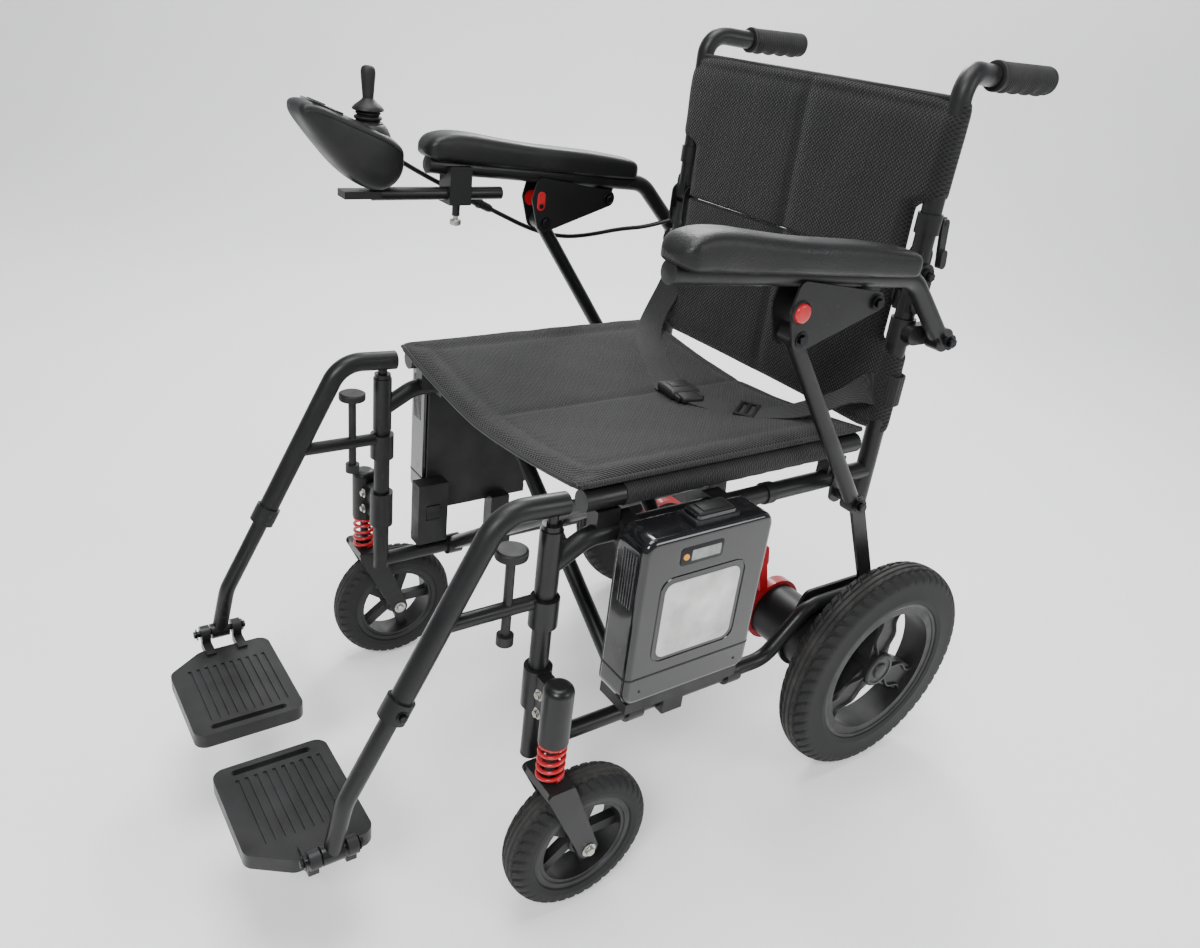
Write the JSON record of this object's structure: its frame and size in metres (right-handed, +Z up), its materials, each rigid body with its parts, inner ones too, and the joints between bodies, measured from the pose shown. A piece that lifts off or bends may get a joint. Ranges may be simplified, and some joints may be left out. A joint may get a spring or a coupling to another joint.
{
  "type": "power wheelchair",
  "caption": "Folding electric wheelchair with mesh seat and back, hub motor wheels, sprung castors, swing-away leg rests, flip-back arm rests and side batteries.",
  "frame": {"origin": "on the floor, under the middle of the chair's bounding box", "axes": "+X to the chair's left, +Y to its back, +Z up"},
  "size_m": [0.58, 0.9809, 0.9276],
  "materials": {
    "frame_black": "satin powder coat",
    "motor_black": "satin",
    "leg_tube_black": "semi gloss",
    "rim_plastic": "satin",
    "tyre_rubber": "matte",
    "red_steel": "gloss",
    "red_plastic": "satin",
    "pad_vinyl": "soft sheen",
    "grip_rubber": "matte",
    "moulded_black": "fine texture",
    "foot_plastic": "satin",
    "battery_gloss": "gloss",
    "seat_fabric": "spacer mesh",
    "back_fabric": "spacer mesh",
    "belt_webbing": "webbing",
    "boot_rubber": "matte"
  },
  "bodies": {
    "right_side": {"right_side_frame": "frame_black", "right_motor": "motor_black", "right_castor_housing": "frame_black", "right_battery_dock": "moulded_black", "back_upholstery_lower": "back_fabric"},
    "left_side": {"left_side_frame": "frame_black", "left_motor": "motor_black", "left_castor_housing": "frame_black", "left_battery_dock": "moulded_black"},
    "brace_a": {"cross_brace_a": "frame_black"},
    "brace_b": {"cross_brace_b": "frame_black"},
    "seat": {"seat_cushion": "seat_fabric", "lap_belt": "belt_webbing"},
    "joystick": {"joystick_housing": "moulded_black", "joystick_arm": "frame_black"},
    "joystick_boot": {"joystick_boot": "boot_rubber"},
    "joystick_stick": {"joystick_stick": "moulded_black"},
    "power_switch": {"power_switch": "moulded_black"},
    "left_back": {"left_back_post_upper": "frame_black", "left_push_grip": "grip_rubber"},
    "left_back_lever": {"left_back_fold_lever": "moulded_black"},
    "left_clutch": {"left_clutch_lever": "red_plastic"},
    "left_rear_wheel": {"left_rear_rim": "rim_plastic", "left_rear_tyre": "tyre_rubber"},
    "left_castor_spring": {"left_castor_stem": "frame_black", "left_castor_spring": "red_steel"},
    "left_castor_fork": {"left_castor_fork": "frame_black"},
    "left_castor_wheel": {"left_castor_rim": "rim_plastic", "left_castor_tyre": "tyre_rubber"},
    "left_legrest": {"left_legrest_hanger": "frame_black"},
    "left_legrest_latch": {"left_legrest_latch": "moulded_black"},
    "left_legrest_tube": {"left_legrest_tube": "leg_tube_black"},
    "left_footplate": {"left_footplate": "foot_plastic"},
    "left_armrest": {"left_armrest_tube": "frame_black", "left_armrest_pad": "pad_vinyl"},
    "left_armrest_bracket": {"left_armrest_bracket": "frame_black"},
    "left_armrest_link": {"left_armrest_link": "frame_black"},
    "left_armrest_button": {"left_armrest_button": "red_plastic"},
    "left_battery": {"left_battery": "battery_gloss"},
    "right_back": {"right_back_post_upper": "frame_black", "right_push_grip": "grip_rubber", "back_upholstery_upper": "back_fabric"},
    "right_back_lever": {"right_back_fold_lever": "moulded_black"},
    "right_clutch": {"right_clutch_lever": "red_plastic"},
    "right_rear_wheel": {"right_rear_rim": "rim_plastic", "right_rear_tyre": "tyre_rubber"},
    "right_castor_spring": {"right_castor_stem": "frame_black", "right_castor_spring": "red_steel"},
    "right_castor_fork": {"right_castor_fork": "frame_black"},
    "right_castor_wheel": {"right_castor_rim": "rim_plastic", "right_castor_tyre": "tyre_rubber"},
    "right_legrest": {"right_legrest_hanger": "frame_black"},
    "right_legrest_latch": {"right_legrest_latch": "moulded_black"},
    "right_legrest_tube": {"right_legrest_tube": "leg_tube_black"},
    "right_footplate": {"right_footplate": "foot_plastic"},
    "right_armrest": {"right_armrest_tube": "frame_black", "right_armrest_pad": "pad_vinyl", "joystick_cable": "boot_rubber"},
    "right_armrest_bracket": {"right_armrest_bracket": "frame_black"},
    "right_armrest_link": {"right_armrest_link": "frame_black"},
    "right_armrest_button": {"right_armrest_button": "red_plastic"},
    "right_battery": {"right_battery": "battery_gloss"}
  },
  "joints": [
    {"name": "fold", "type": "hinge", "parent": "right_side", "child": "brace_a", "pos_m": [-0.21, 0, 0.197], "axis": [0, -1, 0], "range_deg": [0, 29], "deforming": ["seat_cushion", "lap_belt", "back_upholstery_lower", "back_upholstery_upper"]},
    {"name": "brace_cross", "type": "hinge", "parent": "brace_a", "child": "brace_b", "pos_m": [0, 0, 0.34657], "axis": [0, -1, 0], "range_deg": [-59, 0]},
    {"name": "left_side_level", "type": "hinge", "parent": "brace_b", "child": "left_side", "pos_m": [0.21, 0, 0.197], "axis": [0, -1, 0], "range_deg": [0, 30]},
    {"name": "seat_level", "type": "hinge", "parent": "brace_a", "child": "seat", "pos_m": [0.207, 0, 0.494], "axis": [0, -1, 0], "range_deg": [-30, 0]},
    {"name": "left_back_fold", "type": "hinge", "parent": "left_side", "child": "left_back", "pos_m": [0.21, 0.2665, 0.702], "axis": [-1, 0, 0], "range_deg": [0, 72]},
    {"name": "left_back_lever", "type": "hinge", "parent": "left_back", "child": "left_back_lever", "pos_m": [0.21, 0.2875, 0.757], "axis": [1, 0, 0], "range_deg": [0, 35], "stiffness_Nm_per_rad": 0.05, "springref_deg": -11.46},
    {"name": "left_clutch", "type": "hinge", "parent": "left_side", "child": "left_clutch", "pos_m": [0.1275, 0.2465, 0.2], "axis": [-1, 0, 0], "range_deg": [0, 40]},
    {"name": "left_rear_wheel_spin", "type": "hinge", "parent": "left_side", "child": "left_rear_wheel", "pos_m": [0.251, 0.3335, 0.157], "axis": [1, 0, 0], "continuous": true},
    {"name": "left_castor_suspension", "type": "slide", "parent": "left_side", "child": "left_castor_spring", "axis": [0, 0, 1], "range_m": [0, 0.012], "stiffness_N_per_m": 15000, "springref_m": -0.01, "deforming": ["left_castor_spring"]},
    {"name": "left_castor_swivel", "type": "hinge", "parent": "left_castor_spring", "child": "left_castor_fork", "pos_m": [0.259, -0.1985, 0.197], "axis": [0, 0, 1], "continuous": true},
    {"name": "left_castor_spin", "type": "hinge", "parent": "left_castor_fork", "child": "left_castor_wheel", "pos_m": [0.259, -0.1535, 0.09], "axis": [1, 0, 0], "continuous": true},
    {"name": "left_legrest_swing", "type": "hinge", "parent": "left_side", "child": "left_legrest", "pos_m": [0.21, -0.1935, 0.4], "axis": [0, 0, 1], "range_deg": [0, 90]},
    {"name": "left_legrest_latch_pull", "type": "slide", "parent": "left_legrest", "child": "left_legrest_latch", "axis": [0, 0, 1], "range_m": [0, 0.012], "stiffness_N_per_m": 600, "springref_m": -0.006},
    {"name": "left_legrest_length", "type": "slide", "parent": "left_legrest", "child": "left_legrest_tube", "axis": [0, -0.4695, -0.8829], "range_m": [-0.03, 0.045]},
    {"name": "left_footplate_flip", "type": "hinge", "parent": "left_legrest_tube", "child": "left_footplate", "pos_m": [0.207, -0.4175, 0.147], "axis": [0, 1, 0], "range_deg": [0, 90]},
    {"name": "left_armrest_flip", "type": "hinge", "parent": "left_side", "child": "left_armrest", "pos_m": [0.246, 0.29, 0.634], "axis": [-1, 0, 0], "range_deg": [0, 90]},
    {"name": "left_armrest_bracket", "type": "hinge", "parent": "left_armrest", "child": "left_armrest_bracket", "pos_m": [0.246, 0.146, 0.691], "axis": [-1, 0, 0], "range_deg": [-116, 0]},
    {"name": "left_armrest_link", "type": "hinge", "parent": "left_side", "child": "left_armrest_link", "pos_m": [0.246, 0.21, 0.436], "axis": [-1, 0, 0], "range_deg": [0, 49]},
    {"name": "left_armrest_button", "type": "slide", "parent": "left_armrest_bracket", "child": "left_armrest_button", "axis": [-1, 0, 0], "range_m": [0, 0.003], "stiffness_N_per_m": 300, "springref_m": -0.002},
    {"name": "left_battery_lift", "type": "slide", "parent": "left_side", "child": "left_battery", "axis": [0, 0, 1], "range_m": [0, 0.15]},
    {"name": "right_back_fold", "type": "hinge", "parent": "right_side", "child": "right_back", "pos_m": [-0.21, 0.2665, 0.702], "axis": [-1, 0, 0], "range_deg": [0, 72]},
    {"name": "right_back_lever", "type": "hinge", "parent": "right_back", "child": "right_back_lever", "pos_m": [-0.21, 0.2875, 0.757], "axis": [1, 0, 0], "range_deg": [0, 35], "stiffness_Nm_per_rad": 0.05, "springref_deg": -11.46},
    {"name": "right_clutch", "type": "hinge", "parent": "right_side", "child": "right_clutch", "pos_m": [-0.1275, 0.2465, 0.2], "axis": [-1, 0, 0], "range_deg": [0, 40]},
    {"name": "right_rear_wheel_spin", "type": "hinge", "parent": "right_side", "child": "right_rear_wheel", "pos_m": [-0.251, 0.3335, 0.157], "axis": [1, 0, 0], "continuous": true},
    {"name": "right_castor_suspension", "type": "slide", "parent": "right_side", "child": "right_castor_spring", "axis": [0, 0, 1], "range_m": [0, 0.012], "stiffness_N_per_m": 15000, "springref_m": -0.01, "deforming": ["right_castor_spring"]},
    {"name": "right_castor_swivel", "type": "hinge", "parent": "right_castor_spring", "child": "right_castor_fork", "pos_m": [-0.259, -0.1985, 0.197], "axis": [0, 0, 1], "continuous": true},
    {"name": "right_castor_spin", "type": "hinge", "parent": "right_castor_fork", "child": "right_castor_wheel", "pos_m": [-0.259, -0.1535, 0.09], "axis": [1, 0, 0], "continuous": true},
    {"name": "right_legrest_swing", "type": "hinge", "parent": "right_side", "child": "right_legrest", "pos_m": [-0.21, -0.1935, 0.4], "axis": [0, 0, -1], "range_deg": [0, 90]},
    {"name": "right_legrest_latch_pull", "type": "slide", "parent": "right_legrest", "child": "right_legrest_latch", "axis": [0, 0, 1], "range_m": [0, 0.012], "stiffness_N_per_m": 600, "springref_m": -0.006},
    {"name": "right_legrest_length", "type": "slide", "parent": "right_legrest", "child": "right_legrest_tube", "axis": [0, -0.4695, -0.8829], "range_m": [-0.03, 0.045]},
    {"name": "right_footplate_flip", "type": "hinge", "parent": "right_legrest_tube", "child": "right_footplate", "pos_m": [-0.207, -0.4175, 0.147], "axis": [0, -1, 0], "range_deg": [0, 90]},
    {"name": "right_armrest_flip", "type": "hinge", "parent": "right_side", "child": "right_armrest", "pos_m": [-0.246, 0.29, 0.634], "axis": [-1, 0, 0], "range_deg": [0, 90], "deforming": ["joystick_cable"]},
    {"name": "right_armrest_bracket", "type": "hinge", "parent": "right_armrest", "child": "right_armrest_bracket", "pos_m": [-0.246, 0.146, 0.691], "axis": [-1, 0, 0], "range_deg": [-116, 0]},
    {"name": "right_armrest_link", "type": "hinge", "parent": "right_side", "child": "right_armrest_link", "pos_m": [-0.246, 0.21, 0.436], "axis": [-1, 0, 0], "range_deg": [0, 49]},
    {"name": "right_armrest_button", "type": "slide", "parent": "right_armrest_bracket", "child": "right_armrest_button", "axis": [1, 0, 0], "range_m": [0, 0.003], "stiffness_N_per_m": 300, "springref_m": -0.002},
    {"name": "right_battery_lift", "type": "slide", "parent": "right_side", "child": "right_battery", "axis": [0, 0, 1], "range_m": [0, 0.15]},
    {"name": "joystick_reach", "type": "slide", "parent": "right_armrest", "child": "joystick", "axis": [0, 1, 0], "range_m": [-0.03, 0.02], "deforming": ["joystick_cable"]},
    {"name": "joystick_fore_aft", "type": "hinge", "parent": "joystick", "child": "joystick_boot", "pos_m": [-0.238, -0.203, 0.776], "axis": [1, 0, 0], "range_deg": [-20, 20], "stiffness_Nm_per_rad": 0.3, "deforming": ["joystick_boot"]},
    {"name": "joystick_side", "type": "hinge", "parent": "joystick_boot", "child": "joystick_stick", "pos_m": [-0.238, -0.203, 0.776], "axis": [0, 1, 0], "range_deg": [-20, 20], "stiffness_Nm_per_rad": 0.3, "deforming": ["joystick_boot"]},
    {"name": "power_rocker", "type": "hinge", "parent": "right_side", "child": "power_switch", "pos_m": [-0.2025, -0.1195, 0.262], "axis": [0, 1, 0], "range_deg": [-8, 8]}
  ],
  "couplings": [
    {"joint": "brace_cross", "follows": "fold", "ratio": -2},
    {"joint": "left_side_level", "follows": "fold", "ratio": 1},
    {"joint": "seat_level", "follows": "fold", "ratio": -1},
    {"joint": "left_footplate_flip", "follows": "fold", "ratio": 3.06},
    {"joint": "left_armrest_bracket", "follows": "left_armrest_flip", "ratio": -1.2827},
    {"joint": "left_armrest_link", "follows": "left_armrest_flip", "ratio": 0.541},
    {"joint": "right_footplate_flip", "follows": "fold", "ratio": 3.06},
    {"joint": "right_armrest_bracket", "follows": "right_armrest_flip", "ratio": -1.2827},
    {"joint": "right_armrest_link", "follows": "right_armrest_flip", "ratio": 0.541},
    {"joint": "left_back_fold", "follows": "right_back_fold", "ratio": 1}
  ]
}
